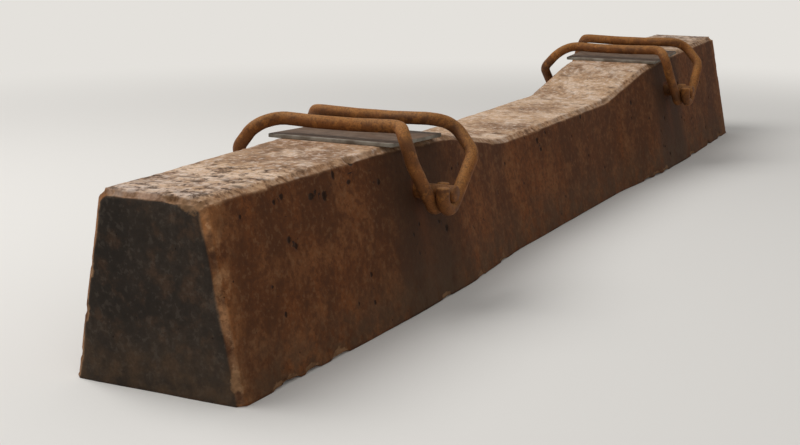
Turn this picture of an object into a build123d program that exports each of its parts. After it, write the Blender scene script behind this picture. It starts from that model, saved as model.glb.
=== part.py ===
"""Prestressed concrete railway sleeper for a narrow gauge line, with its two seats fitted out.

The body is one cast block. Each seat has a plastic pad on it, a steel pin that crosses the body
below it, and two spring clips of round bar, one along each edge of the flange that they are made
to hold down. The crossbar of a clip lies over that edge, and its two legs go down past the sides
of the body and hook up under the pin.

Millimetres. The origin is at the middle of the underside, +X along the sleeper, +Z up.
"""

import os
from math import atan, cos, pi, radians, sin, tan

from build123d import *

# The concrete body
sleeper_length = 2057
base_width = 250  # under the seats
end_width = 226
waist_width = 220
side_slope = 11  # degrees from upright
seat_height = 215  # from the underside to the middle of a seat
rail_centres = 1137  # between the middles of the two seats
seat_cant = 1 / 20  # the seats lean inwards
seat_outer_reach = 80  # from a seat's middle to where the cant ends, towards the end
seat_inner_reach = 110  # and towards the middle
end_rise = 3  # from the cant's outer end up to the end of the sleeper
middle_drop = 39.5  # from the cant's inner end down to the middle
middle_flat = 500  # length of the lower, narrower middle
arris_chamfer = 8
plan_blend_radius = 600
crown_blend_radius = 300

# The flange that the clips hold down on a seat
rail_foot_width = 140
flange_under_clip = 9.5  # its thickness where the crossbars bear on it

# The pads
pad_length = 150  # along the sleeper
pad_thickness = 5
pad_overhang = 10  # past each top edge of the seat
pad_corner = 4

# The pins that cross the body
pin_diameter = 22
pin_depth = 64  # from the seat down to the pin's axis
pin_hole_clearance = 0.3  # all round
pin_end_proud = 1.5  # past the outermost hook
pin_chamfer = 1.5

# The spring clips. The inner leg of a clip goes down next to the concrete, and the outer leg passes
# the other clip's inner leg.
bar_diameter = 18
toe_bite = 12  # how far inside the flange's edge the crossbar lies
foot_clearance = 9  # from the flange's edge to the bar of a leg
crossbar_dip = 2
dip_flat = 60
shoulder_rest = 8  # from a shoulder down to the top of its leg
inner_shoulder = 96  # from the seat's middle to the corner of the bar
inner_leg_swing = 20  # how far the leg's top stands out from its shoulder
outer_shoulder = 84
outer_leg_swing = 20
knee_tuck = 14
hook_run_angle = 45  # degrees below level, of the run from the knee to the pin
hook_tail = 10
hook_gap = 0.3  # between a hook and the pin
wall_gap = 13  # between the inner leg's hook and the concrete
leg_gap = 1  # between the two hooks that share one end of a pin
dip_radius = 300
inner_shoulder_radius = 24
outer_shoulder_radius = 26
inner_leg_top_radius = 21
outer_leg_top_radius = 27
knee_radius = 28
hook_radius = 18
bar_end_chamfer = 1.5

# Worked out from the sizes above
slope_run = tan(radians(side_slope))
end_x = sleeper_length / 2
rail_x = rail_centres / 2
seat_inner_x = rail_x - seat_inner_reach
seat_outer_x = rail_x + seat_outer_reach
seat_outer_height = seat_height + seat_outer_reach * seat_cant
seat_inner_height = seat_height - seat_inner_reach * seat_cant
end_height = seat_outer_height + end_rise
middle_height = seat_inner_height - middle_drop
bar_radius = bar_diameter / 2
pin_radius = pin_diameter / 2
cant_angle = atan(seat_cant)
seat_top_width = base_width - 2 * seat_height * slope_run
hook_reach = pin_radius + hook_gap + bar_radius  # from the pin's axis to the line of the bar
hook_height = seat_height - pin_depth - hook_reach
wall_at_hook = base_width / 2 - hook_height * slope_run
inner_leg_y = wall_at_hook + wall_gap + bar_radius
outer_leg_y = inner_leg_y + bar_diameter + leg_gap
pin_length = 2 * (outer_leg_y + bar_radius + pin_end_proud)

sides = {"left": -1, "right": 1}


def seat_plane(side):
    """The plane of one seat: local X points outwards along the sleeper, local Z off the seat."""
    return Plane(
        origin=(side * rail_x, 0, seat_height),
        x_dir=(side * cos(cant_angle), 0, sin(cant_angle)),
        z_dir=(-side * sin(cant_angle), 0, cos(cant_angle)),
    )


def pin_centre(side):
    """Where the axis of a pin crosses the sleeper's middle plane, straight down from the seat."""
    return seat_plane(side).from_local_coords(Vector(0, 0, -pin_depth))


def leg_corners(shoulder, swing, leg, way):
    """The corners of the bar from its crossbar to the end of one leg, in the seat's coordinates.

    shoulder and leg are distances across the sleeper, and way is 1 or -1 for the leg's side. The
    last three corners go round the pin: the bar stays hook_reach from its axis, and turns from the
    run that comes down from the knee to straight up, in two equal turns.
    """
    crossbar_u = rail_foot_width / 2 - toe_bite
    crossbar_w = pad_thickness + flange_under_clip + bar_radius
    leg_u = rail_foot_width / 2 + bar_radius + foot_clearance
    shoulder_w = crossbar_w + crossbar_dip
    run_down = radians(180 + hook_run_angle)
    half_turn = radians(90 + hook_run_angle) / 2
    corner_reach = hook_reach / cos(half_turn / 2)

    def around_pin(angle):
        return corner_reach * cos(angle), way * leg, corner_reach * sin(angle) - pin_depth

    bearing = run_down + pi / 2  # where the run from the knee touches the circle round the pin
    under_pin = around_pin(bearing - half_turn / 2)
    behind_pin = around_pin(bearing - half_turn * 3 / 2)
    knee_u = leg_u - knee_tuck
    knee_w = under_pin[2] + (knee_u - under_pin[0]) * tan(radians(hook_run_angle))
    return [
        (crossbar_u, way * dip_flat / 2, crossbar_w),
        (crossbar_u, way * shoulder, shoulder_w),
        (leg_u, way * (shoulder + swing), shoulder_w - shoulder_rest),
        (knee_u, way * leg, knee_w),
        under_pin,
        behind_pin,
        (behind_pin[0], way * leg, hook_tail - pin_depth),
    ]


def plan_outline(height):
    """One side of the body's plan at a height, from end to end; both sides lean in as it rises."""
    lean = height * slope_run
    return FilletPolyline(
        (-end_x, end_width / 2 - lean),
        (-seat_outer_x, base_width / 2 - lean),
        (-seat_inner_x, base_width / 2 - lean),
        (-middle_flat / 2, waist_width / 2 - lean),
        (middle_flat / 2, waist_width / 2 - lean),
        (seat_inner_x, base_width / 2 - lean),
        (seat_outer_x, base_width / 2 - lean),
        (end_x, end_width / 2 - lean),
        radius=plan_blend_radius,
    )


# The concrete body: a plan that narrows in the middle, drawn up to the height of the ends with
# leaning sides, and cut to the line of its top and its two upright ends.
with BuildPart() as sleeper_body:
    for height in (0, end_height):
        with BuildSketch(Plane.XY.offset(height)):
            with BuildLine():
                edge_line = plan_outline(height)
                mirror(about=Plane.XZ)
                for tip in (edge_line @ 0, edge_line @ 1):
                    Line(tip, (tip.X, -tip.Y))
            make_face()
    loft(ruled=True)
    with BuildSketch(Plane.XZ):
        with BuildLine():
            crown = FilletPolyline(
                (-end_x, end_height),
                (-seat_outer_x, seat_outer_height),
                (-seat_inner_x, seat_inner_height),
                (-middle_flat / 2, middle_height),
                (middle_flat / 2, middle_height),
                (seat_inner_x, seat_inner_height),
                (seat_outer_x, seat_outer_height),
                (end_x, end_height),
                radius=crown_blend_radius,
            )
            Polyline(crown @ 0, (-end_x, 0), (end_x, 0), crown @ 1)
        make_face()
    extrude(amount=base_width, both=True, mode=Mode.INTERSECT)
    top_faces = [
        face for face in sleeper_body.faces() if face.normal_at().Z > cos(radians(side_slope))
    ]
    rims = [
        edge
        for face in top_faces
        for edge in face.edges()
        if abs(edge.center().Y) > waist_width / 4 or abs(edge.center().X) > end_x - arris_chamfer
    ]
    corners = [
        edge
        for edge in sleeper_body.edges()
        if abs(edge.center().X) > end_x - arris_chamfer and abs(edge.tangent_at(0.5).Y) < 0.5
    ]
    chamfer(rims + corners, length=arris_chamfer)
    with BuildSketch(Plane.XZ):
        for side in sides.values():
            with Locations((pin_centre(side).X, pin_centre(side).Z)):
                Circle(pin_radius + pin_hole_clearance)
    extrude(amount=base_width, both=True, mode=Mode.SUBTRACT)

sleeper_body.part.label = "sleeper_body"

os.makedirs("parts", exist_ok=True)
export_step(sleeper_body.part, "parts/sleeper_body.step")

for side_name, side in sides.items():
    seat = seat_plane(side)

    # The pad lies flat on the canted seat and shows past both of its top edges.
    with BuildPart() as rail_pad:
        with BuildSketch(seat):
            RectangleRounded(pad_length, seat_top_width + 2 * pad_overhang, pad_corner)
        extrude(amount=pad_thickness)
    rail_pad.part.label = f"rail_pad_{side_name}"
    export_step(rail_pad.part, f"parts/rail_pad_{side_name}.step")

    # The pin is a plain bar through the body, long enough for two hooks at each end.
    axis_plane = Plane(origin=pin_centre(side), x_dir=(1, 0, 0), z_dir=(0, 1, 0))
    with BuildPart() as cross_pin:
        with BuildSketch(axis_plane):
            Circle(pin_radius)
        extrude(amount=pin_length / 2, both=True)
        chamfer(cross_pin.edges().filter_by(GeomType.CIRCLE), length=pin_chamfer)
    cross_pin.part.label = f"cross_pin_{side_name}"
    export_step(cross_pin.part, f"parts/cross_pin_{side_name}.step")

    # The two clips of a seat are alike: one is the other turned half round, so that their hooks
    # pass each other side by side on the pin.
    for place, facing in {"outer": 1, "inner": -1}.items():
        clip_plane = Plane(origin=seat.origin, x_dir=seat.x_dir * facing, z_dir=seat.z_dir)
        inner_leg = leg_corners(inner_shoulder, inner_leg_swing, inner_leg_y, 1)
        outer_leg = leg_corners(outer_shoulder, outer_leg_swing, outer_leg_y, -1)
        inner_radii = [dip_radius, inner_shoulder_radius, inner_leg_top_radius, knee_radius]
        outer_radii = [dip_radius, outer_shoulder_radius, outer_leg_top_radius, knee_radius]
        hook_radii = [hook_radius, hook_radius]
        radii = hook_radii + inner_radii[::-1] + outer_radii + hook_radii
        with BuildPart() as rail_clip:
            with BuildLine() as route:
                FilletPolyline(
                    *[
                        clip_plane.from_local_coords(Vector(*corner))
                        for corner in inner_leg[::-1] + outer_leg
                    ],
                    radius=radii,
                )
            with BuildSketch(Plane(origin=route.line @ 0, z_dir=route.line % 0)):
                Circle(bar_radius)
            sweep()
            ends = rail_clip.faces().filter_by(GeomType.PLANE).sort_by(SortBy.AREA)[-2:]
            chamfer(ends.edges(), length=bar_end_chamfer)
        name = f"rail_clip_{side_name}_{place}"
        rail_clip.part.label = name
        export_step(rail_clip.part, f"parts/{name}.step")
        bar_volume = route.wires()[0].length * pi * bar_radius**2
        print(name, "volume over section times length", round(rail_clip.part.volume / bar_volume, 4))
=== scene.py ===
from itertools import product
from math import atan, cos, pi, radians, sin, tan

import bpy
import numpy as np
from bpy.props import FloatProperty, FloatVectorProperty, PointerProperty
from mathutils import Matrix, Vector


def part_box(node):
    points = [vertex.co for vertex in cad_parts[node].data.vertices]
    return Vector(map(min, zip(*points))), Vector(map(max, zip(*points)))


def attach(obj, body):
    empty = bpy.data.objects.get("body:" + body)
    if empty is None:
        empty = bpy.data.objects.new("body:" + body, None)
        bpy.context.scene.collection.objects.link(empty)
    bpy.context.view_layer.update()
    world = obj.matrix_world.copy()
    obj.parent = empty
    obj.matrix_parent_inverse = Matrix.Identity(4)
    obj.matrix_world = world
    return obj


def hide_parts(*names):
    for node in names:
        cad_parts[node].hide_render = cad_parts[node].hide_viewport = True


# A weathered prestressed concrete railway sleeper: the cast body, a moulded pad on each seat,
# a steel pin that crosses the body below it, and two bent spring clips hooked on the pin.
# Metres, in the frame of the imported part: +X along the sleeper, +Z up, the underside at z = 0.

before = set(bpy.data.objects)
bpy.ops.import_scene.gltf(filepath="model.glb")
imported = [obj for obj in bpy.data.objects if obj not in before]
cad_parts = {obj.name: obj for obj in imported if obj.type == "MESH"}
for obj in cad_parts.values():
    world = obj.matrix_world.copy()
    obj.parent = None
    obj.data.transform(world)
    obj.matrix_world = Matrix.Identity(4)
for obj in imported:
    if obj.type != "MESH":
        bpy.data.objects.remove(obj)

bl_info = {
    "name": "Railway sleeper",
    "version": (1, 0, 0),
    "blender": (4, 5, 0),
    "location": "View3D > Sidebar > Sleeper",
    "description": "Builds a weathered concrete railway sleeper with its pads, pins and clips",
    "category": "Add Mesh",
}

MM = 0.001
BODY_LOW, BODY_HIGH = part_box("sleeper_body")

# The concrete body. Lengths along the sleeper are measured from its middle.
END_X = BODY_HIGH.x
BASE_WIDTH = BODY_HIGH.y - BODY_LOW.y
END_WIDTH = 226 * MM
WAIST_WIDTH = 220 * MM
SIDE_LEAN = radians(11)
SEAT_HEIGHT = 215 * MM
SEAT_CANT = 1 / 20
RAIL_X = 568.5 * MM
SEAT_OUTER_REACH = 80 * MM
SEAT_INNER_REACH = 110 * MM
END_RISE = 3 * MM
MIDDLE_DROP = 39.5 * MM
SEAT_OUTER_X = RAIL_X + SEAT_OUTER_REACH
SEAT_INNER_X = RAIL_X - SEAT_INNER_REACH
SEAT_OUTER_HEIGHT = SEAT_HEIGHT + SEAT_OUTER_REACH * SEAT_CANT
SEAT_INNER_HEIGHT = SEAT_HEIGHT - SEAT_INNER_REACH * SEAT_CANT
END_HEIGHT = SEAT_OUTER_HEIGHT + END_RISE
MIDDLE_HEIGHT = SEAT_INNER_HEIGHT - MIDDLE_DROP
MIDDLE_REACH = 250 * MM
PLAN_RADIUS = 600 * MM
CROWN_RADIUS = 300 * MM

# The grid of the concrete: cells of about 3 mm over the ends and 5 mm over the middle.
MIDDLE_STEP = 5.2 * MM
FINE_FROM = 655 * MM
FINE_STATIONS = 122
ARRIS_STATIONS = 4
CAP_RINGS = 26
# Cells of the bottom, a side, an arris, the top, the other arris and side, round the section.
SECTION_CELLS = (10, 50, 4, 50, 4, 50)

# Weathering of the concrete
FAR = 9.0  # past every chip and hole, in shares of their reach
GRAIN_SIZES = (11 * MM, 6 * MM)
SWELL_SIZE = 55 * MM
BAY_SIZE = 24 * MM
NICK_SIZE = 7 * MM
HOLE_DEPTH = 0.6  # as a share of its smaller reach
SCAR_DEPTH = 1.1 * MM
SCAR_HEIGHT = 12  # reach up and down, in millimetres
WAVINESS = 0.5 * MM
MOUTH_DEPTH = 2.4 * MM
MOUTH_REACH = (12 * MM, 19 * MM)
RAIL_ZONE = (45 * MM, 52 * MM)  # full strength up to the first, and its fade after that
RUST_RUN = (15 * MM, 55 * MM)  # half width and length of the rust below a pin
CORNER_COAT = 24 * MM
CORNER_FADE = (50 * MM, 150 * MM)  # down from the top
MARKED_FROM = (800 * MM, 880 * MM)
BLEACHED_END = 170 * MM
BLEACH_FROM_SIDE = (4 * MM, 22 * MM)

# The fittings. A clip's sizes are given on its seat, outwards, across and up.
CANT_ANGLE = atan(SEAT_CANT)
FOOT_HALF = 70 * MM
FLANGE_UNDER_CLIP = 9.5 * MM
TOE_BITE = 12 * MM
FOOT_CLEARANCE = 9 * MM
CROSSBAR_DIP = 2 * MM
DIP_FLAT_HALF = 30 * MM
SHOULDER_REST = 8 * MM
INNER_SHOULDER = 96 * MM
OUTER_SHOULDER = 84 * MM
LEG_SWING = 20 * MM
KNEE_TUCK = 14 * MM
HOOK_RUN = radians(45)
HOOK_TAIL = 10 * MM
HOOK_GAP = 0.3 * MM
WALL_GAP = 13 * MM
LEG_GAP = 1 * MM
# Radii of a clip's arcs, from the hook of its inner leg to the hook of its outer leg
CLIP_RADII = [18, 18, 28, 21, 24, 300, 300, 26, 27, 28, 18, 18]
BAR_CHAMFER = 1.5 * MM
BAR_CELLS = 36
BAR_STEP = 2.6 * MM
PIN_END_PROUD = 1.5 * MM
PIN_DEPTH = 64 * MM
PIN_X = RAIL_X + PIN_DEPTH * sin(CANT_ANGLE)
PIN_Z = SEAT_HEIGHT - PIN_DEPTH * cos(CANT_ANGLE)
PAD_LENGTH = 150 * MM
PAD_OVERHANG = 10 * MM
PAD_CORNER = 4 * MM
PAD_EDGE_RADIUS = 0.9 * MM
PAD_RINGS = 14
PAD_OUTLINE = 160
SIDES = {"left": -1, "right": 1}

PAPER_FADE = (1.15, 2.5)  # from the sleeper's middle
SKY_LIGHT, SKY_SEEN = 0.42, 0.9

# Sockets of a colour mix
MIX_FACTOR, MIX_FIRST, MIX_SECOND, MIX_RESULT = 0, 6, 7, 2


def linear_colour(code):
    """The linear colour of an sRGB hex code, with an alpha of one."""
    parts = np.array([int(code[n : n + 2], 16) for n in (1, 3, 5)]) / 255
    return *np.where(parts <= 0.04045, parts / 12.92, ((parts + 0.055) / 1.055) ** 2.4), 1.0


def size_property(name, description, default):
    return FloatProperty(
        name=name, description=description, default=default, min=0, precision=4, unit="LENGTH"
    )


def colour_property(name, description, code):
    return FloatVectorProperty(
        name=name,
        description=description,
        default=linear_colour(code),
        size=4,
        min=0,
        max=1,
        subtype="COLOR",
    )


class SleeperConcrete(bpy.types.PropertyGroup):
    """Sizes and colours of the cast body."""

    arris: size_property("Arris", "Width of the bevel along the top edges", 8 * MM)
    relief: size_property("Relief", "Depth of the worn roughness of the top", 0.9 * MM)
    wear: size_property("Wear", "Depth to which the edges are worn", 1.8 * MM)
    top: colour_property("Top", "Worn, weathered top", "#c8a584")
    top_dull: colour_property("Top, dull", "Dirtier areas of the top", "#7b5c45")
    top_rust: colour_property("Top, rusty", "Rust that washes over the top round a seat", "#9c6739")
    side: colour_property("Side", "Cast side under its coat of rust and brake dust", "#6f3f1d")
    side_dull: colour_property("Side, dull", "Darkest streaks down the sides", "#452611")
    grease: colour_property("Grease", "Dark grease and rust below a seat", "#37200d")
    # The end colours hold painted shade: the end face is painted darker than its concrete, and its
    # dull areas are darker still at random.
    end: colour_property("End", "Cut end face", "#372f28")
    shaded_end_dull: colour_property("End, dull", "Damp, sooty areas of the end face", "#221e1a")
    edge: colour_property("Edge", "Rubbed edges", "#bd9069")
    broken: colour_property("Broken", "Old chips, down to the mortar", "#9a7553")
    # The hole colour is dirt and painted shade: near black, for the shade inside each hole.
    hole: colour_property("Hole", "Dirt in blowholes", "#26180e")


class SleeperFittings(bpy.types.PropertyGroup):
    """Sizes and colours of the clips, pins and pads."""

    bar: size_property("Clip bar", "Diameter of a clip's bar", 18 * MM)
    pin: size_property("Pin", "Diameter of a cross pin", 22 * MM)
    pad: size_property("Pad", "Thickness of a pad", 5 * MM)
    rust: colour_property("Rust", "Dry brown rust of the bars", "#79481d")
    rust_dark: colour_property("Rust, dark", "Tight black-brown scale", "#422610")
    rust_bright: colour_property("Rust, bright", "Fresh ochre patches", "#a0672e")
    # Tan on the upper side of the bars: real dust, and a painted highlight.
    dust: colour_property("Dust", "Tan dust that lies on the upper side", "#a6723a")
    plastic: colour_property("Plastic", "Moulded pad", "#8a8377")
    plastic_dirt: colour_property("Plastic, dirty", "Grime on the pad", "#4b3b2c")


class SleeperStage(bpy.types.PropertyGroup):
    """The studio round the sleeper."""

    floor: colour_property("Floor", "Plain pale floor and backdrop", "#e4e1dc")
    key_power: FloatProperty(
        name="Key", description="Power of the large lamp above", default=62, min=0, unit="POWER"
    )
    fill_power: FloatProperty(
        name="Fill", description="Power of the lamp in front", default=16, min=0, unit="POWER"
    )
    lens: FloatProperty(name="Lens", description="Focal length in millimetres", default=63, min=1)


def turning_line(distance, corners, radius):
    """Height of a line with rounded corners, at distances from the middle.

    It follows the straight pieces through the corners, and at each corner the slope of one piece
    turns evenly into the slope of the next over the length of an arc of the radius.
    """
    at, level = np.array(corners).T
    slopes = np.diff(level) / np.diff(at)
    height = level[0] + slopes[0] * (distance - at[0])
    for corner, change in zip(at[1:-1], np.diff(slopes)):
        reach = max(radius * abs(change) / 2, MM)
        past = np.clip(distance - corner + reach, 0, 2 * reach)
        beyond = np.maximum(distance - corner - reach, 0)
        height = height + change * (past**2 / (4 * reach) + beyond)
    return height


def half_base(distance):
    """Half the body's width at its underside."""
    corners = [
        (0, WAIST_WIDTH / 2),
        (MIDDLE_REACH, WAIST_WIDTH / 2),
        (SEAT_INNER_X, BASE_WIDTH / 2),
        (SEAT_OUTER_X, BASE_WIDTH / 2),
        (END_X, END_WIDTH / 2),
    ]
    return turning_line(distance, corners, PLAN_RADIUS)


def crown(distance):
    """Height of the body's top."""
    corners = [
        (0, MIDDLE_HEIGHT),
        (MIDDLE_REACH, MIDDLE_HEIGHT),
        (SEAT_INNER_X, SEAT_INNER_HEIGHT),
        (SEAT_OUTER_X, SEAT_OUTER_HEIGHT),
        (END_X, END_HEIGHT),
    ]
    return turning_line(distance, corners, CROWN_RADIUS)


def soft_noise(points, size, seed):
    """Smooth noise from -1 to 1 with bumps about size apart.

    Random values sit at the corners of a cubic lattice, and a point takes the blend of the eight
    around it, each weighted by a smooth step of its nearness.
    """
    values = np.random.default_rng(seed).uniform(-1, 1, (64, 64, 64))
    cell = points / size
    base = np.floor(cell).astype(int)
    part = cell - base
    part = part * part * (3 - 2 * part)
    total = np.zeros(points.shape[:-1])
    for corner in product((0, 1), repeat=3):
        weight = np.prod(np.where(corner, part, 1 - part), axis=-1)
        total += weight * values[tuple(np.moveaxis((base + corner) % 64, -1, 0))]
    return total


def smooth_step(value, low, high):
    """0 below low, 1 above high, and a smooth S between."""
    part = np.clip((value - low) / (high - low), 0, 1)
    return part * part * (3 - 2 * part)


def unit(vectors):
    """Each vector scaled to a length of one."""
    return vectors / np.linalg.norm(vectors, axis=-1, keepdims=True)


def add_piece(name, rings, material, node, attributes=None):
    """A closed tube through rings of points, capped by a point in the middle of its first and last.

    Each ring goes round counter-clockwise as seen from the side that the rings run towards, so
    that the faces point outwards. The piece rides on the sleeper and takes the place of a node.
    """
    rows, count = rings.shape[:2]
    verts = np.concatenate([rings.reshape(-1, 3), rings[[0, -1]].mean(axis=1)])
    grid = np.arange(rows * count).reshape(rows, count)
    after = np.roll(grid, -1, axis=1)
    quads = np.stack([grid[:-1], after[:-1], after[1:], grid[1:]], axis=-1).reshape(-1, 4)
    first, last = rows * count, rows * count + 1
    start = np.stack([np.full(count, first), after[0], grid[0]], axis=-1)
    finish = np.stack([np.full(count, last), grid[-1], after[-1]], axis=-1)
    corners = np.concatenate([quads.ravel(), start.ravel(), finish.ravel()])
    sizes = np.concatenate([np.full(len(quads), 4), np.full(2 * count, 3)])

    mesh = bpy.data.meshes.new(name)
    mesh.vertices.add(len(verts))
    mesh.vertices.foreach_set("co", verts.ravel().astype(np.float32))
    mesh.loops.add(len(corners))
    mesh.loops.foreach_set("vertex_index", corners.astype(np.int32))
    mesh.polygons.add(len(sizes))
    mesh.polygons.foreach_set("loop_start", (np.cumsum(sizes) - sizes).astype(np.int32))
    mesh.polygons.foreach_set("use_smooth", np.ones(len(sizes), bool))
    mesh.update(calc_edges=True)
    for label, values in (attributes or {}).items():
        scalar = values.ndim == 2
        tips = values[[0, -1]].mean(axis=1)
        filled = np.concatenate([values.reshape(len(verts) - 2, -1), tips.reshape(2, -1)])
        layer = mesh.attributes.new(label, "FLOAT" if scalar else "FLOAT_VECTOR", "POINT")
        layer.data.foreach_set("value" if scalar else "vector", filled.astype(np.float32).ravel())
    mesh.materials.append(material)
    piece = bpy.data.objects.new(name, mesh)
    bpy.context.scene.collection.objects.link(piece)
    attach(piece, "root")
    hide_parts(node)
    return piece


def body_rings(arris):
    """The body before it wore: rings of its section along the sleeper, and then over each end.

    A ring is the section's outline, where the sides lean in by the same angle all the way up and
    the top edges are bevelled. Towards an end the outline draws in to bevel the end's edges too,
    and on the end's face it shrinks towards the middle of the face.
    """
    along = np.concatenate(
        [
            np.arange(MIDDLE_STEP / 2, FINE_FROM, MIDDLE_STEP),
            np.linspace(FINE_FROM, END_X - arris, FINE_STATIONS, endpoint=False),
            np.linspace(END_X - arris, END_X, ARRIS_STATIONS + 1),
            np.full(CAP_RINGS - 1, END_X),
        ]
    )
    shrink = np.ones(len(along))
    shrink[-CAP_RINGS + 1 :] = np.linspace(1, 0, CAP_RINGS + 1)[1:-1]
    inset = np.clip(along - END_X + arris, 0, arris)
    lean = tan(SIDE_LEAN)
    half = half_base(along) - inset / cos(SIDE_LEAN)
    top = crown(along) - inset
    shoulder = top - arris * cos(SIDE_LEAN)
    zero = np.zeros(len(along))
    corners = np.array(
        [
            (-half, zero),
            (half, zero),
            (half - shoulder * lean, shoulder),
            (half - top * lean - arris, top),
            (top * lean + arris - half, top),
            (shoulder * lean - half, shoulder),
            (-half, zero),
        ]
    )
    segment = np.repeat(np.arange(len(SECTION_CELLS)), SECTION_CELLS)
    part = np.concatenate([np.arange(cells) / cells for cells in SECTION_CELLS])
    outline = (
        corners[segment] * (1 - part)[:, None, None] + corners[segment + 1] * part[:, None, None]
    )
    across, height = np.moveaxis(outline, -1, 0)[..., 0], np.moveaxis(outline, -1, 0)[..., 1]
    middle = top[:, None] / 2
    across = across * shrink[:, None]
    height = middle + (height - middle) * shrink[:, None]
    half_rings = np.stack([np.broadcast_to(along[:, None], across.shape), across, height], axis=-1)
    return np.concatenate([half_rings[::-1] * (-1, 1, 1), half_rings])


def outward(rings):
    """The surface's outward direction at each point, from the steps round and along the grid."""
    around = np.roll(rings, -1, axis=1) - np.roll(rings, 1, axis=1)
    return unit(np.cross(around, np.gradient(rings, axis=0)))


def away_from(points, centre, reach):
    """Distance from a centre, as a share of a reach that differs along each axis."""
    return np.linalg.norm((points - centre) / reach, axis=-1)


def bowl(away):
    """Depth of a rounded hollow: 1 at its centre, and 0 from where the distance is 1.

    It is the square root of one less the square of the distance, so the rim is steeper than
    the floor. A distance below 0, in the middle of a ragged hollow, counts as its centre.
    """
    return np.sqrt(np.clip(1 - np.maximum(away, 0) ** 2, 0, 1))


def chip_places(rng):
    """Where the edges are chipped: the centre, the reach along X, Y and Z, and the depth."""
    near, far = -1, 1

    def edge(x, side):
        top = float(crown(abs(x)))
        return x, side * (float(half_base(abs(x))) - top * tan(SIDE_LEAN)), top

    def end_rim(end, y):
        return end * END_X, y, END_HEIGHT

    # Seen in the photograph: the worn near corner, the dark chip and the one next to the pad.
    chips = [
        (edge(-END_X, near), (34, 26, 15), 4.2),
        (edge(-0.726, near), (13, 8, 9), 5.0),
        (edge(-0.656, near), (12, 8, 7), 2.6),
        (edge(-0.905, near), (9, 6, 6), 2.2),
        (end_rim(-1, 0.031), (9, 15, 8), 2.6),
        (end_rim(-1, -0.022), (7, 11, 6), 2.0),
    ]
    for side in (near, far):
        for x in rng.uniform(-END_X, END_X, 26):
            long = rng.uniform(5, 20)
            high = rng.uniform(4, 9)
            chips.append((edge(x, side), (long, high, high), rng.uniform(1.4, 4.5)))
    for end in (-1, 1):
        for y in rng.uniform(-0.08, 0.08, 5):
            wide = rng.uniform(5, 15)
            chips.append((end_rim(end, y), (7, wide, 7), rng.uniform(1.2, 3.2)))
        for side in (near, far):
            for z in rng.uniform(0.01, 0.2, 3):
                y = side * (END_WIDTH / 2 - z * tan(SIDE_LEAN))
                chips.append(((end * END_X, y, z), (8, 8, 14), rng.uniform(1.5, 3.5)))
            for x in rng.uniform(0.3, END_X, 7):
                y = side * float(half_base(x))
                chips.append(((end * x, y, 0), (16, 7, 9), rng.uniform(1.5, 4)))
    return chips


def hole_places(rng):
    """Blowholes: which side, the centre's X and Z, and the reach along X and Z in millimetres."""
    near = -1
    holes = [
        (near, -0.8260, 0.1890, 7.5, 4.6),
        (near, -0.7989, 0.1847, 6.0, 6.8),
        (near, -0.7728, 0.2046, 3.4, 6.5),
        (near, -0.7409, 0.1913, 4.6, 3.6),
        (near, -0.6704, 0.1791, 3.8, 4.4),
        (near, -0.9020, 0.1960, 3.2, 3.2),
        (near, -0.7262, 0.2125, 7.5, 3.8),
    ]
    for side in (-1, 1):
        for _ in range(64):
            wide = 2.2 + 3 * rng.random() ** 2
            high = wide * rng.uniform(0.8, 1.4)
            holes.append((side, rng.uniform(-1, 1), rng.uniform(0.015, 0.2), wide, high))
    return holes


def scar_places(rng):
    """Shallow scars at random on the top: the centre's X and Y, and the reach in millimetres."""
    scars = []
    for low, high, count in ((-1.01, -0.82, 18), (-0.66, 0.66, 16), (0.82, 1.01, 14)):
        for _ in range(count):
            long, wide = rng.uniform(2.6, 6), rng.uniform(6, 18)
            scars.append((rng.uniform(low, high), rng.uniform(-0.065, 0.065), long, wide))
    return scars


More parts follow.
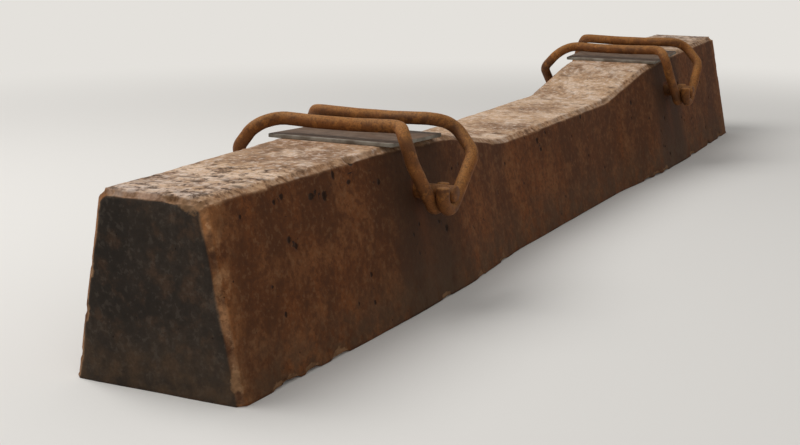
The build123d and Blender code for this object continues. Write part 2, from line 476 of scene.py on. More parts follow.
def wear_body(settings):
    """The body's rings after weathering, with the masks that its material reads."""
    rings = body_rings(settings.arris)
    normal = outward(rings)
    x, y, z = np.moveaxis(rings, -1, 0)
    distance = np.minimum(np.abs(x), END_X)
    top = smooth_step(normal[..., 2], 0.5, 0.95)
    end = smooth_step(np.abs(normal[..., 0]), 0.5, 0.95)
    under = smooth_step(-normal[..., 2], 0.3, 0.9)
    side = np.clip(1 - top - end - under, 0, 1)
    from_seat = np.abs(distance - RAIL_X)
    on_seat = smooth_step(-from_seat, -92 * MM, -78 * MM) * top

    # How far a point is from the sharp edges that the block would have without its bevels.
    from_end = END_X - distance
    from_top = crown(distance) - z
    from_side = (half_base(distance) - z * tan(SIDE_LEAN) - np.abs(y)) * cos(SIDE_LEAN)
    edge = np.minimum(
        np.hypot(from_side, from_top),
        np.minimum(np.hypot(from_end, from_top), np.hypot(from_end, from_side)),
    )

    coarse_size, fine_size = GRAIN_SIZES
    rough = 0.6 * soft_noise(rings, coarse_size, 1) + 0.4 * soft_noise(rings, fine_size, 2)
    swell = soft_noise(rings, SWELL_SIZE, 3)
    bay = soft_noise(rings, BAY_SIZE, 4)
    fine = soft_noise(rings, NICK_SIZE, 5)
    depth = settings.relief * (0.5 + 0.5 * rough) * (0.25 + 0.75 * top * (1 - on_seat))
    depth += WAVINESS * (1 + swell) * (1 - 0.9 * on_seat)
    band = np.exp(-((edge / (1.2 * settings.arris)) ** 2))
    depth += settings.wear * band * (0.55 + 0.45 * bay + 0.2 * fine)

    rng = np.random.default_rng(7)
    ragged = 0.28 * bay + 0.3 * fine
    chip_away = np.full(x.shape, FAR)
    for centre, reach, deep in chip_places(rng):
        away = away_from(rings, centre, np.array(reach) * MM) + ragged
        depth += deep * MM * bowl(away)
        chip_away = np.minimum(chip_away, away)
    hole_offset = np.full(rings.shape, FAR)
    for way, at_x, at_z, wide, high in hole_places(rng):
        at_y = way * (float(half_base(abs(at_x))) - at_z * tan(SIDE_LEAN))
        offset = (rings - (at_x, at_y, at_z)) / (np.array((wide, wide, high)) * MM)
        away = np.linalg.norm(offset, axis=-1, keepdims=True)
        depth += HOLE_DEPTH * min(wide, high) * MM * bowl(away[..., 0])
        nearest = np.linalg.norm(hole_offset, axis=-1, keepdims=True)
        hole_offset = np.where(away < nearest, offset, hole_offset)

    scars = np.zeros(x.shape)
    for at_x, at_y, long, wide in scar_places(np.random.default_rng(11)):
        place = np.array((at_x, at_y, float(crown(abs(at_x)))))
        away = away_from(rings, place, np.array((long, wide, SCAR_HEIGHT)) * MM) + ragged
        scars = np.maximum(scars, bowl(away) * top)
    depth += SCAR_DEPTH * scars

    # The mouths of the cross holes are dished a little round the pins.
    from_pin = np.hypot(distance - PIN_X, z - PIN_Z)
    mouth = smooth_step(-from_pin, -MOUTH_REACH[1], -MOUTH_REACH[0]) * side
    depth += MOUTH_DEPTH * mouth

    below = np.clip(PIN_Z - z, 0, None)
    run = np.exp(-(((distance - PIN_X) / RUST_RUN[0]) ** 2)) * np.exp(-below / RUST_RUN[1])
    upright = smooth_step(-np.abs(normal[..., 0]), -0.95, -0.75)
    low_down = smooth_step(from_top, *CORNER_FADE)
    masks = {
        "top": top,
        "end": end,
        "edge": band * (0.75 + 0.5 * bay),
        "corner": np.exp(-((from_end / CORNER_COAT) ** 2))
        * (1 - top)
        * (0.65 + 0.5 * bay)
        * upright
        * (1 - (0.6 + 0.3 * swell) * low_down),
        "chip_away": chip_away,
        "scar": scars,
        "hole_offset": hole_offset,
        "rail": np.exp(-((np.maximum(from_seat - RAIL_ZONE[0], 0) / RAIL_ZONE[1]) ** 2)),
        "rust": np.clip(run * (z < PIN_Z + 16 * MM) + mouth, 0, 1) * side,
        "marked": 0.35 + 0.65 * smooth_step(distance + 60 * MM * swell, *MARKED_FROM),
        "bleach": smooth_step(distance, END_X - BLEACHED_END, END_X)
        * top
        * smooth_step(from_side, *BLEACH_FROM_SIDE),
        # Darker towards the bottom of the sides and ends.
        "damp": smooth_step(-z, -90 * MM, -5 * MM) * (side + end),
    }
    return rings - normal * depth[..., None], masks


def rounded_route(corners, radii):
    """A line through corners with an arc of its own radius at each inner corner, 0.5 mm a step.

    The arc's centre lies on the line that halves the corner, at the radius over the sine of half
    the angle between its two sides.
    """
    corners = np.array(corners)
    back = unit(corners[:-2] - corners[1:-1])
    ahead = unit(corners[2:] - corners[1:-1])
    half_angle = np.arccos(np.sum(back * ahead, axis=1)) / 2
    centres = corners[1:-1] + unit(back + ahead) * (np.array(radii) / np.sin(half_angle))[:, None]
    pieces = [corners[:1]]
    for corner, centre, one, radius, angle in zip(
        corners[1:-1], centres, back, radii, half_angle
    ):
        first = corner + one * radius / tan(angle) - centre
        middle = unit(corner - centre) * radius
        square = unit(middle - first * (first @ middle) / radius**2) * radius
        turn = np.linspace(0, pi - 2 * angle, int(radius * (pi - 2 * angle) / (0.5 * MM)) + 3)
        pieces.append(centre + np.cos(turn)[:, None] * first + np.sin(turn)[:, None] * square)
    pieces.append(corners[-1:])
    return np.concatenate(pieces)


def spaced(route, stations):
    """The points of a line at distances along it, which stations gives for the line's length."""
    length = np.concatenate([[0], np.cumsum(np.linalg.norm(np.diff(route, axis=0), axis=1))])
    distances = stations(length[-1])
    return np.stack([np.interp(distances, length, axis) for axis in route.T], axis=-1)


def bar_rings(route, radius, scale_depth, seed):
    """A round bar along a line: circles square to it, smaller over the chamfer at each end.

    The circle's first direction is carried from station to station by taking away what leans
    along the line, so that the bar doesn't twist. Rust scale eats up to scale_depth off it.
    """

    def stations(length):
        inner = np.linspace(BAR_CHAMFER, length - BAR_CHAMFER, int(length / BAR_STEP))
        return np.concatenate([[0], inner, [length]])

    centres = spaced(route, stations)
    forward = unit(np.gradient(centres, axis=0))
    sideways = [unit(np.cross(forward[0], (0.3, 0.5, 0.8)))]
    for heading in forward[1:]:
        sideways.append(unit(sideways[-1] - heading * (heading @ sideways[-1])))
    sideways = np.array(sideways)
    upward = np.cross(forward, sideways)
    angle = np.arange(BAR_CELLS) * 2 * pi / BAR_CELLS
    circle = (
        np.cos(angle)[None, :, None] * sideways[:, None]
        + np.sin(angle)[None, :, None] * upward[:, None]
    )
    reach = np.full(len(centres), radius)
    reach[[0, -1]] -= BAR_CHAMFER
    points = centres[:, None] + circle * reach[:, None, None]
    scale, pits = soft_noise(points, 9 * MM, seed), soft_noise(points, 3 * MM, seed + 1)
    eaten = 0.5 + 0.3 * scale + 0.2 * pits
    return points - circle * (scale_depth * eaten)[..., None]


def seat_points(points, side, facing=1):
    """Points given from a seat's middle, outwards, across and up, put in the frame.

    The seat is canted. facing -1 turns the points half round on the seat.
    """
    out = np.array((side * cos(CANT_ANGLE), 0, sin(CANT_ANGLE))) * facing
    up = np.array((-side * sin(CANT_ANGLE), 0, cos(CANT_ANGLE)))
    axes = np.array((out, np.cross(up, out), up))
    return np.array((side * RAIL_X, 0, SEAT_HEIGHT)) + points @ axes


def clip_route(settings):
    """The line of a clip's bar, from the hook of its inner leg to the hook of its outer leg.

    The crossbar lies over the pad, higher by the flange that it is made to hold down. Each leg
    goes from its shoulder down past the concrete to a knee, runs in and down, and turns in two
    equal turns round the pin.
    """
    bar_radius, pin_radius = settings.bar / 2, settings.pin / 2
    crossbar_out = FOOT_HALF - TOE_BITE
    crossbar_up = settings.pad + FLANGE_UNDER_CLIP + bar_radius
    leg_out = FOOT_HALF + bar_radius + FOOT_CLEARANCE
    shoulder_up = crossbar_up + CROSSBAR_DIP
    hook_reach = pin_radius + HOOK_GAP + bar_radius
    hook_height = SEAT_HEIGHT - PIN_DEPTH - hook_reach
    wall = BASE_WIDTH / 2 - hook_height * tan(SIDE_LEAN)
    inner_leg = wall + WALL_GAP + bar_radius
    outer_leg = inner_leg + settings.bar + LEG_GAP
    half_turn = (pi / 2 + HOOK_RUN) / 2
    corner_reach = hook_reach / cos(half_turn / 2)

    def leg(shoulder, across, way):
        bearing = pi + HOOK_RUN + pi / 2
        turns = [bearing - half_turn / 2, bearing - half_turn * 3 / 2]
        under, behind = [
            (corner_reach * cos(turn), way * across, corner_reach * sin(turn) - PIN_DEPTH)
            for turn in turns
        ]
        knee_out = leg_out - KNEE_TUCK
        return [
            (crossbar_out, way * DIP_FLAT_HALF, crossbar_up),
            (crossbar_out, way * shoulder, shoulder_up),
            (leg_out, way * (shoulder + LEG_SWING), shoulder_up - SHOULDER_REST),
            (knee_out, way * across, under[2] + (knee_out - under[0]) * tan(HOOK_RUN)),
            under,
            behind,
            (behind[0], way * across, HOOK_TAIL - PIN_DEPTH),
        ]

    inner = leg(INNER_SHOULDER, inner_leg, 1)
    outer = leg(OUTER_SHOULDER, outer_leg, -1)
    return rounded_route(inner[::-1] + outer, np.array(CLIP_RADII) * MM)


def pin_half_length(settings):
    """Half a pin's length: past the outer of the two hooks by a little."""
    hook_height = SEAT_HEIGHT - PIN_DEPTH - settings.pin / 2 - HOOK_GAP - settings.bar / 2
    wall = BASE_WIDTH / 2 - hook_height * tan(SIDE_LEAN)
    return wall + WALL_GAP + LEG_GAP + PIN_END_PROUD + 2 * settings.bar


def pad_rings(thickness, top_width):
    """A flat pad with rounded corners and edges, as rings from the middle of its underside."""
    half = np.array((PAD_LENGTH / 2, top_width / 2 + PAD_OVERHANG))
    loop = np.array([(1, 0), (1, 1), (-1, 1), (-1, -1), (1, -1), (1, 0)]) * half
    outline = spaced(
        rounded_route(loop, [PAD_CORNER] * 4),
        lambda length: np.linspace(0, length, PAD_OUTLINE + 1)[:-1],
    )
    turn = np.linspace(0, pi / 2, 5)
    tuck = (1 - np.sin(turn)) * PAD_EDGE_RADIUS
    rise = (1 - np.cos(turn)) * PAD_EDGE_RADIUS
    inset = np.concatenate([tuck, tuck[::-1]])
    edge_height = np.concatenate([rise, thickness - rise[::-1]])
    edge = outline * (1 - inset[:, None] / half)[:, None]
    spread = np.linspace(0.04, 0.985, PAD_RINGS)[:, None, None]
    flat = outline * spread
    rings = np.concatenate([flat, edge, flat[::-1]])
    height = np.concatenate([np.zeros(PAD_RINGS), edge_height, np.full(PAD_RINGS, thickness)])
    height = np.broadcast_to(height[:, None, None], (*rings.shape[:2], 1))
    return np.concatenate([rings, height], axis=-1)


def add_node(tree, kind, inputs=None, output=0, **settings):
    """Add a node with its settings, and give its inputs values or other nodes' outputs.

    The answer is one of its own outputs, or nothing where it has none.
    """
    node = tree.nodes.new(kind)
    for name, value in settings.items():
        setattr(node, name, value)
    for name, value in (inputs or {}).items():
        if isinstance(value, bpy.types.NodeSocket):
            tree.links.new(value, node.inputs[name])
        else:
            node.inputs[name].default_value = value
    return node.outputs[output] if node.outputs else None


def new_tree(name):
    """An empty material and its node tree."""
    material = bpy.data.materials.new(name)
    material.use_nodes = True
    material.node_tree.nodes.clear()
    return material, material.node_tree


def coated(tree, colour, coats):
    """A colour under coats laid in turn: each has a strength, masks that bound it, and a colour.

    A coat's colour is a hex code, a setting or another colour's output.
    """
    for share, masks, tint in coats:
        if isinstance(tint, str):
            tint = linear_colour(tint)
        for mask in masks:
            share = add_node(tree, "ShaderNodeMath", {0: share, 1: mask}, operation="MULTIPLY")
        colour = add_node(
            tree,
            "ShaderNodeMix",
            {MIX_FACTOR: share, MIX_FIRST: colour, MIX_SECOND: tint},
            MIX_RESULT,
            data_type="RGBA",
        )
    return colour


def weathered_concrete(settings):
    """Cast concrete with a worn top, rust-coated sides, and ends painted darker as painted shade.

    Portland cement concrete, IOR 1.5, dull all over. Rain and dust have opened its top to the
    sand, so it is pale and rough. Its sides keep the smooth, blowholed skin of the steel mould.
    """
    material, tree = new_tree("weathered_cast_concrete")
    place = add_node(tree, "ShaderNodeTexCoord", output="Object")
    names = "top end edge corner marked chip_away scar rail rust bleach damp"
    mask = {
        name: add_node(tree, "ShaderNodeAttribute", output="Fac", attribute_name=name)
        for name in names.split()
    }
    # Streaks run down the sides, three times as long as they are wide.
    down = add_node(tree, "ShaderNodeMapping", {"Vector": place, "Scale": (1, 1, 0.33)})
    # Each cloud pattern's place, its real size and its detail.
    clouds = {
        "area": (place, 130 * MM, 4),
        "cloud": (place, 50 * MM, 4),
        "mottle": (place, 22 * MM, 4),
        "scuff": (place, 15 * MM, 5),
        "speck": (place, 8 * MM, 3),
        "grit": (place, 3.4 * MM, 2),
        "streak": (down, 40 * MM, 3),
        "wash": (down, 140 * MM, 4),
    }
    noise = {
        name: add_node(
            tree,
            "ShaderNodeTexNoise",
            {"Vector": where, "Scale": 1 / size, "Detail": detail, "Roughness": 0.6},
            "Fac",
        )
        for name, (where, size, detail) in clouds.items()
    }

    # Sand and fine stone in the mortar, 7 mm apart at the coarsest.
    stones = {"Vector": place, "Scale": 1 / (7 * MM)}
    stone_gap = add_node(tree, "ShaderNodeTexVoronoi", stones, "Distance")
    stone_colour = add_node(tree, "ShaderNodeTexVoronoi", stones, "Color")
    stone_tone = add_node(tree, "ShaderNodeSeparateColor", {0: stone_colour})
    # Pinholes of up to 3 mm: each cell of 11 mm has a hole of its own size, and most have none.
    cells = {"Vector": place, "Scale": 1 / (11 * MM)}
    cell_colour = add_node(tree, "ShaderNodeTexVoronoi", cells, "Color")
    draw = add_node(tree, "ShaderNodeSeparateColor", {0: cell_colour}, 1)
    size = add_node(tree, "ShaderNodeMapRange", {"Value": draw, "From Min": 0.7, "To Max": 0.15})
    from_middle = add_node(tree, "ShaderNodeTexVoronoi", cells, "Distance")
    inside = add_node(tree, "ShaderNodeMath", {0: size, 1: from_middle}, operation="SUBTRACT")
    # Blowholes: the distance from the nearest one's centre, as a share of its radius.
    offset = add_node(tree, "ShaderNodeAttribute", output="Vector", attribute_name="hole_offset")
    from_hole = add_node(tree, "ShaderNodeVectorMath", {0: offset}, "Value", operation="LENGTH")
    ragged = add_node(
        tree, "ShaderNodeMapRange", {"Value": noise["grit"], "To Min": -0.4, "To Max": 0.4}
    )
    from_hole = add_node(tree, "ShaderNodeMath", {0: from_hole, 1: ragged})
    torn = add_node(
        tree,
        "ShaderNodeMapRange",
        {
            "Value": noise["scuff"],
            "From Min": 0.25,
            "From Max": 0.75,
            "To Min": -0.6,
            "To Max": 0.6,
        },
    )
    from_chip = add_node(tree, "ShaderNodeMath", {0: mask["chip_away"], 1: torn})

    # Masks that rise smoothly from 0 at the first limit of a value to 1 at the second.
    limits = {
        "dull": (noise["area"], 0.4, 0.66),
        "pale": (noise["cloud"], 0.48, 0.62),
        "worn_area": (noise["cloud"], 0.6, 0.42),
        "smudge": (noise["mottle"], 0.5, 0.68),
        "thin": (noise["mottle"], 0.3, 0.6),
        "dot": (noise["speck"], 0.52, 0.61),
        "fleck": (noise["speck"], 0.46, 0.36),
        "scuff": (noise["scuff"], 0.51, 0.6),
        "scoured": (noise["scuff"], 0.46, 0.36),
        "grain": (noise["grit"], 0.25, 0.75),
        "streak": (noise["streak"], 0.4, 0.6),
        "wash": (noise["wash"], 0.42, 0.6),
        "rubbed": (mask["edge"], 0.25, 0.8),
        "broken": (from_chip, 1.1, 0.75),
        "pinhole": (inside, 0, 0.06),
        "hole": (from_hole, 1.05, 0.75),
        "bowl": (from_hole, 1.0, 0.1),
        "stone": (stone_tone, 0.55, 0.95),
    }
    step = {
        name: add_node(
            tree,
            "ShaderNodeMapRange",
            {"Value": value, "From Min": low, "From Max": high},
            interpolation_type="SMOOTHSTEP",
        )
        for name, (value, low, high) in limits.items()
    }
    top = coated(
        tree,
        settings.top,
        [
            (0.78, [step["dull"]], settings.top_dull),
            (0.7, [step["pale"]], "#e6c9ae"),
            (0.9, [step["smudge"], mask["marked"]], settings.top_dull),
            (0.7, [mask["rail"], step["thin"]], settings.top_rust),
            (0.6, [mask["bleach"], step["thin"]], "#d2bfb3"),
            (0.35, [step["stone"]], settings.edge),
            (0.6, [step["scoured"], step["pale"]], "#dccabb"),
            (0.95, [step["scuff"], step["worn_area"], mask["marked"]], "#523b2b"),
            (0.5, [step["fleck"]], "#e6d3c3"),
            (0.9, [step["dot"], step["thin"], mask["marked"]], "#422e20"),
            (0.85, [mask["scar"]], "#4c392b"),
        ],
    )
    side = coated(
        tree,
        settings.side,
        [
            (0.6, [step["wash"]], settings.side_dull),
            (0.5, [step["streak"]], settings.side_dull),
            (0.4, [step["pale"]], "#81522f"),
            (0.35, [step["smudge"]], settings.side_dull),
            (0.18, [step["fleck"]], "#94704f"),
            (0.55, [step["dot"]], settings.side_dull),
            (0.8, [mask["rail"]], settings.grease),
            (0.8, [mask["rust"]], "#6d3c1c"),
        ],
    )
    # The end face: painted shade over the concrete's grey, with random darker and lighter patches.
    end = coated(
        tree,
        settings.end,
        [
            (0.8, [step["dull"]], settings.shaded_end_dull),
            (0.3, [step["smudge"]], "#624631"),
            (0.16, [step["fleck"]], "#6f6459"),
            (0.4, [step["dot"]], settings.shaded_end_dull),
        ],
    )
    colour = coated(
        tree,
        side,
        [
            (1, [mask["end"]], end),
            # Darker towards the bottom of the sides and ends.
            (0.55, [mask["damp"], step["thin"]], "#54412f"),
            (1, [mask["top"]], top),
            (0.8, [step["rubbed"], step["thin"]], settings.edge),
            (0.5, [step["rubbed"], step["scoured"]], "#dcb893"),
            (0.65, [step["rubbed"], step["dot"]], settings.side_dull),
            (0.9, [mask["corner"], step["thin"]], "#a87043"),
            (0.5, [mask["corner"], step["smudge"]], settings.side_dull),
            (0.45, [mask["corner"], step["scoured"]], "#cf9f72"),
            # The top rim at each end is painted pale: worn concrete, and a painted highlight along
            # the rim.
            (0.9, [step["rubbed"], mask["bleach"]], "#e0d0c4"),
            (0.6, [step["broken"]], settings.broken),
            (0.5, [step["broken"], step["smudge"]], settings.side_dull),
            (0.3, [step["grain"]], "#2e2218"),
            # Blowholes and pinholes are filled near black: dirt, and painted shade in the hollows.
            (0.85, [step["pinhole"]], settings.hole),
            (0.9, [step["hole"]], settings.hole),
        ],
    )
    roughness = add_node(
        tree,
        "ShaderNodeMapRange",
        {"Value": mask["rail"], "To Min": 0.93, "To Max": 0.85},
    )
    normal = None
    for height, strength, depth in (
        (noise["grit"], 0.5, 0.8 * MM),
        (noise["speck"], 0.5, 1.2 * MM),
        (stone_gap, 0.3, -0.8 * MM),
        (step["pinhole"], 0.9, -1.5 * MM),
        (step["bowl"], 0.8, -2.0 * MM),
    ):
        ground = {"Height": height, "Strength": strength, "Distance": depth}
        if normal:
            ground["Normal"] = normal
        normal = add_node(tree, "ShaderNodeBump", ground)
    shader = add_node(
        tree,
        "ShaderNodeBsdfPrincipled",
        {
            "Base Color": colour,
            "Roughness": roughness,
            "Normal": normal,
            "Specular IOR Level": 0.2,
        },
    )
    add_node(tree, "ShaderNodeOutputMaterial", {"Surface": shader})
    return material


def rusted_steel(name, settings, dust_and_highlight_share):
    """Spring steel bar left to rust in the open.

    Its hot-rolled skin has gone to a thin brown scale, IOR 1.5 and not metallic, with tighter
    dark areas, ochre patches where it still flakes, and tan dust on whatever faces up, which is
    also a painted highlight along the upper side.
    """
    material, tree = new_tree(name)
    place = add_node(tree, "ShaderNodeTexCoord", output="Object")
    clouds = {
        "area": (60 * MM, 3),
        "patch": (18 * MM, 3),
        "flake": (6 * MM, 4),
        "pit": (1.7 * MM, 2),
    }
    noise = {
        name: add_node(
            tree,
            "ShaderNodeTexNoise",
            {"Vector": place, "Scale": 1 / size, "Detail": detail, "Roughness": 0.6},
            "Fac",
        )
        for name, (size, detail) in clouds.items()
    }
    normal = add_node(tree, "ShaderNodeNewGeometry", output="Normal")
    facing_up = add_node(tree, "ShaderNodeSeparateXYZ", {0: normal}, "Z")
    limits = {
        "tight": (noise["area"], 0.42, 0.66),
        "fresh": (noise["patch"], 0.5, 0.62),
        "flaked": (noise["flake"], 0.52, 0.62),
        "pitted": (noise["pit"], 0.45, 0.7),
        "up": (facing_up, 0.1, 0.95),
        "lying": (noise["flake"], 0.25, 0.6),
    }
    step = {
        name: add_node(
            tree,
            "ShaderNodeMapRange",
            {"Value": value, "From Min": low, "From Max": high},
            interpolation_type="SMOOTHSTEP",
        )
        for name, (value, low, high) in limits.items()
    }
    colour = coated(
        tree,
        settings.rust,
        [
            (0.65, [step["tight"]], settings.rust_dark),
            (0.55, [step["fresh"]], settings.rust_bright),
            # Dust and painted highlight: whatever faces up is painted tan.
            (dust_and_highlight_share, [step["up"], step["lying"]], settings.dust),
            (0.45, [step["flaked"]], settings.rust_dark),
            (0.55, [step["pitted"]], settings.rust_dark),
        ],
    )
    roughness = add_node(
        tree, "ShaderNodeMapRange", {"Value": noise["area"], "To Min": 0.95, "To Max": 0.6}
    )
    scaly = add_node(
        tree, "ShaderNodeBump", {"Height": noise["flake"], "Strength": 0.55, "Distance": 0.6 * MM}
    )
    pitted = add_node(
        tree,
        "ShaderNodeBump",
        {"Height": noise["pit"], "Strength": 0.6, "Distance": 0.35 * MM, "Normal": scaly},
    )
    shader = add_node(
        tree,
        "ShaderNodeBsdfPrincipled",
        {
            "Base Color": colour,
            "Roughness": roughness,
            "Normal": pitted,
            "Specular IOR Level": 0.3,
        },
    )
    add_node(tree, "ShaderNodeOutputMaterial", {"Surface": shader})
    return material


def moulded_plastic(settings):
    """Injection-moulded EVA pad.

    Semi-matt grey, IOR 1.5, with a fine moulded pebble. Grime lies on it, and a brown band of
    rust is printed along it, as wide as the flange that it carries.
    """
    material, tree = new_tree("moulded_pad_plastic")
    place = add_node(tree, "ShaderNodeTexCoord", output="Object")
    clouds = {"grime": (30 * MM, 6), "smear": (9 * MM, 4), "pebble": (2.2 * MM, 1)}
    noise = {
        name: add_node(
            tree,
            "ShaderNodeTexNoise",
            {"Vector": place, "Scale": 1 / size, "Detail": detail, "Roughness": 0.6},
            "Fac",
        )
        for name, (size, detail) in clouds.items()
    }
    across = add_node(tree, "ShaderNodeSeparateXYZ", {0: place}, "X")
    out = add_node(tree, "ShaderNodeMath", {0: across}, operation="ABSOLUTE")
    from_rail = add_node(tree, "ShaderNodeMath", {0: out, 1: RAIL_X}, operation="SUBTRACT")
    from_rail = add_node(tree, "ShaderNodeMath", {0: from_rail}, operation="ABSOLUTE")
    normal = add_node(tree, "ShaderNodeNewGeometry", output="Normal")
    facing_up = add_node(tree, "ShaderNodeSeparateXYZ", {0: normal}, "Z")
    limits = {
        "grime": (noise["grime"], 0.38, 0.66),
        "smear": (noise["smear"], 0.35, 0.65),
        "print": (from_rail, FOOT_HALF + 1.5 * MM, FOOT_HALF - 3 * MM),
        "up": (facing_up, 0.5, 0.9),
    }
    step = {
        name: add_node(
            tree,
            "ShaderNodeMapRange",
            {"Value": value, "From Min": low, "From Max": high},
            interpolation_type="SMOOTHSTEP",
        )
        for name, (value, low, high) in limits.items()
    }
    colour = coated(
        tree,
        settings.plastic,
        [
            (0.75, [step["grime"]], settings.plastic_dirt),
            (0.75, [step["print"], step["up"]], "#5e4029"),
            (0.5, [step["print"], step["up"], step["smear"]], "#3a2b20"),
        ],
    )
    bump = add_node(
        tree,
        "ShaderNodeBump",
        {"Height": noise["pebble"], "Strength": 0.3, "Distance": 0.15 * MM},
    )
    shader = add_node(
        tree,
        "ShaderNodeBsdfPrincipled",
        {
            "Base Color": colour,
            "Roughness": 0.8,
            "Normal": bump,
            "Specular IOR Level": 0.25,
        },
    )
    add_node(tree, "ShaderNodeOutputMaterial", {"Surface": shader})
    return material


def seen_ray(tree):
    """1 for rays that the eye follows: straight from the camera, mirrored or seen through."""
    seen = add_node(tree, "ShaderNodeLightPath", output="Is Camera Ray")
    for kind in ("Is Glossy Ray", "Is Transmission Ray"):
        ray = add_node(tree, "ShaderNodeLightPath", output=kind)
        seen = add_node(tree, "ShaderNodeMath", {0: seen, 1: ray}, operation="MAXIMUM")
    return seen


def studio_paper(settings):
    """Matt background paper that fades, for the camera alone, to one even pale tone far away."""
    material, tree = new_tree("studio_paper")
    paper = add_node(
        tree,
        "ShaderNodeBsdfPrincipled",
        {"Base Color": settings.floor, "Roughness": 0.9, "Specular IOR Level": 0.1},
    )
    glow = add_node(tree, "ShaderNodeEmission", {"Color": settings.floor, "Strength": 1.0})
    place = add_node(tree, "ShaderNodeTexCoord", output="Object")
    distance = add_node(tree, "ShaderNodeVectorMath", {0: place}, "Value", operation="LENGTH")
    far = add_node(
        tree,
        "ShaderNodeMapRange",
        {"Value": distance, "From Min": PAPER_FADE[0], "From Max": PAPER_FADE[1]},
        interpolation_type="SMOOTHSTEP",
    )
    share = add_node(tree, "ShaderNodeMath", {0: seen_ray(tree), 1: far}, operation="MULTIPLY")
    surface = add_node(tree, "ShaderNodeMixShader", {0: share, 1: paper, 2: glow})
    add_node(tree, "ShaderNodeOutputMaterial", {"Surface": surface})
    return material


class SLEEPER_OT_add_body(bpy.types.Operator):
    """Add the weathered concrete body"""

    bl_idname = "sleeper.add_body"
    bl_label = "Concrete body"

    def execute(self, context):
        settings = context.scene.sleeper_concrete
        rings, masks = wear_body(settings)
        material = weathered_concrete(settings)
        add_piece("concrete_body", rings, material, "sleeper_body", masks)
        return {"FINISHED"}


class SLEEPER_OT_add_pads(bpy.types.Operator):
    """Add the pad of each seat"""

    bl_idname = "sleeper.add_pads"
    bl_label = "Rail pads"

    def execute(self, context):
        settings = context.scene.sleeper_fittings
        material = moulded_plastic(settings)
        top_width = BASE_WIDTH - 2 * SEAT_HEIGHT * tan(SIDE_LEAN)
        rings = pad_rings(settings.pad, top_width)
        for name, side in SIDES.items():
            placed = seat_points(rings, side)
            add_piece(f"moulded_pad_{name}", placed, material, f"rail_pad_{name}")
        return {"FINISHED"}


class SLEEPER_OT_add_pins(bpy.types.Operator):
    """Add the pin that crosses the body below each seat"""

    bl_idname = "sleeper.add_pins"
    bl_label = "Cross pins"

    def execute(self, context):
        settings = context.scene.sleeper_fittings
        material = rusted_steel("rusted_pin_steel", settings, 0.4)
        half = pin_half_length(settings)
        for seed, (name, side) in enumerate(SIDES.items(), 20):
            ends = np.array([(side * PIN_X, -half, PIN_Z), (side * PIN_X, half, PIN_Z)])
            rings = bar_rings(ends, settings.pin / 2, 0.2 * MM, seed)
            add_piece(f"steel_pin_{name}", rings, material, f"cross_pin_{name}")
        return {"FINISHED"}


class SLEEPER_OT_add_clips(bpy.types.Operator):
    """Add the two spring clips of each seat"""

    bl_idname = "sleeper.add_clips"
    bl_label = "Rail clips"

    def execute(self, context):
        settings = context.scene.sleeper_fittings
        material = rusted_steel("rusted_spring_steel", settings, 0.85)
        route = clip_route(settings)
        for name, side in SIDES.items():
            for seed, (place, facing) in enumerate({"outer": 1, "inner": -1}.items(), 30 + side):
                placed = seat_points(route, side, facing)
                rings = bar_rings(placed, settings.bar / 2, 0.3 * MM, seed * 3)
                add_piece(
                    f"spring_clip_{name}_{place}",
                    rings,
                    material,
                    f"rail_clip_{name}_{place}",
                )
        return {"FINISHED"}


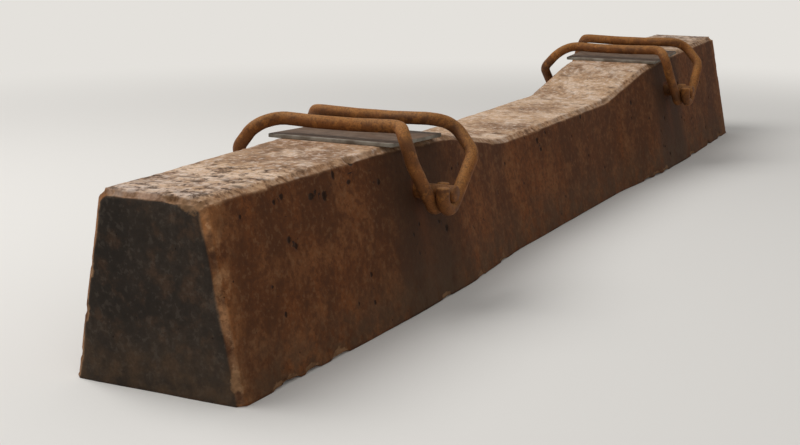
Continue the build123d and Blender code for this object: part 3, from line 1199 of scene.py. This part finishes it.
class SLEEPER_OT_add_stage(bpy.types.Operator):
    """Add the floor and backdrop, the lamps, the sky and the camera"""

    bl_idname = "sleeper.add_stage"
    bl_label = "Stage"

    def execute(self, context):
        settings = context.scene.sleeper_stage
        scene = context.scene

        # A flat floor that curves up into a wall far behind, all the way round.
        flat, curve = 11, 3
        rise = np.linspace(0.1, pi / 2, 12)
        radius = np.concatenate([np.linspace(0.5, flat, 8), flat + curve * np.sin(rise)])
        height = np.concatenate([np.zeros(8), curve - curve * np.cos(rise)])
        angle = np.linspace(0, 2 * pi, 97)[:-1]
        rings = np.stack(
            [
                radius[:, None] * np.cos(angle),
                radius[:, None] * np.sin(angle),
                np.broadcast_to(height[:, None], (len(radius), len(angle))),
            ],
            axis=-1,
        )
        grid = np.arange(rings.shape[0] * rings.shape[1]).reshape(rings.shape[:2])
        after = np.roll(grid, -1, axis=1)
        quads = np.stack([grid[:-1], grid[1:], after[1:], after[:-1]], axis=-1).reshape(-1, 4)
        mesh = bpy.data.meshes.new("studio_floor")
        mesh.from_pydata(rings.reshape(-1, 3).tolist(), [], quads.tolist() + [grid[0].tolist()])
        mesh.polygons.foreach_set("use_smooth", np.ones(len(mesh.polygons), bool))
        mesh.materials.append(studio_paper(settings))
        floor = bpy.data.objects.new("studio_floor", mesh)
        scene.collection.objects.link(floor)

        lamps = {
            "key": ((-0.9, 1.5, 2.7), (-0.3, 0, 0.1), 2.2, settings.key_power),
            "fill": ((-3.2, -2.2, 1.6), (-0.4, 0, 0.1), 2.0, settings.fill_power),
        }
        for name, (place, target, size, power) in lamps.items():
            lamp = bpy.data.lights.new(f"{name}_lamp", "AREA")
            lamp.shape, lamp.size, lamp.energy = "DISK", size, power
            holder = bpy.data.objects.new(f"{name}_lamp", lamp)
            holder.location = place
            aim = Vector(target) - Vector(place)
            holder.rotation_euler = aim.to_track_quat("-Z", "Y").to_euler()
            scene.collection.objects.link(holder)

        world = bpy.data.worlds.new("studio_sky")
        world.use_nodes = True
        tree = world.node_tree
        tree.nodes.clear()
        strength = add_node(
            tree,
            "ShaderNodeMapRange",
            {"Value": seen_ray(tree), "To Min": SKY_LIGHT, "To Max": SKY_SEEN},
        )
        sky = add_node(tree, "ShaderNodeBackground", {"Color": (1, 1, 1, 1), "Strength": strength})
        add_node(tree, "ShaderNodeOutputWorld", {"Surface": sky})
        scene.world = world

        # The camera stands where the photograph was taken from, and its longer lens takes in the
        # whole sleeper.
        camera = bpy.data.cameras.new("camera")
        camera.lens = settings.lens
        camera.clip_end = 60
        holder = bpy.data.objects.new("camera", camera)
        holder.location = (-2.1995, -0.892, 0.52)
        target = Vector((-0.24, 0.1, 0.02))
        holder.rotation_euler = (target - holder.location).to_track_quat("-Z", "Y").to_euler()
        scene.collection.objects.link(holder)
        scene.camera = holder
        scene.view_settings.view_transform = "Standard"
        return {"FINISHED"}


class SLEEPER_PT_panel(bpy.types.Panel):
    """Sizes, colours and the steps that build the sleeper"""

    bl_idname = "SLEEPER_PT_panel"
    bl_label = "Railway sleeper"
    bl_space_type = "VIEW_3D"
    bl_region_type = "UI"
    bl_category = "Sleeper"

    def draw(self, context):
        for group, operators in PANEL_ORDER:
            box = self.layout.box()
            settings = getattr(context.scene, group)
            for name in settings.bl_rna.properties.keys():
                if name not in ("rna_type", "name"):
                    box.prop(settings, name)
            for operator in operators:
                box.operator(operator.bl_idname)


PANEL_ORDER = (
    ("sleeper_concrete", (SLEEPER_OT_add_body,)),
    ("sleeper_fittings", (SLEEPER_OT_add_pads, SLEEPER_OT_add_pins, SLEEPER_OT_add_clips)),
    ("sleeper_stage", (SLEEPER_OT_add_stage,)),
)
GROUPS = {
    "sleeper_concrete": SleeperConcrete,
    "sleeper_fittings": SleeperFittings,
    "sleeper_stage": SleeperStage,
}
OPERATORS = [operator for _, operators in PANEL_ORDER for operator in operators]


def register():
    for kind in (*GROUPS.values(), *OPERATORS, SLEEPER_PT_panel):
        bpy.utils.register_class(kind)
    for name, kind in GROUPS.items():
        setattr(bpy.types.Scene, name, PointerProperty(type=kind))


def unregister():
    for name in GROUPS:
        delattr(bpy.types.Scene, name)
    for kind in (SLEEPER_PT_panel, *reversed(OPERATORS), *GROUPS.values()):
        bpy.utils.unregister_class(kind)


def main():
    """Build the sleeper and its stage."""
    register()
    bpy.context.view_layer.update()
    bpy.ops.sleeper.add_body()
    bpy.ops.sleeper.add_pads()
    bpy.ops.sleeper.add_pins()
    bpy.ops.sleeper.add_clips()
    bpy.ops.sleeper.add_stage()


if __name__ == "__main__":
    main()
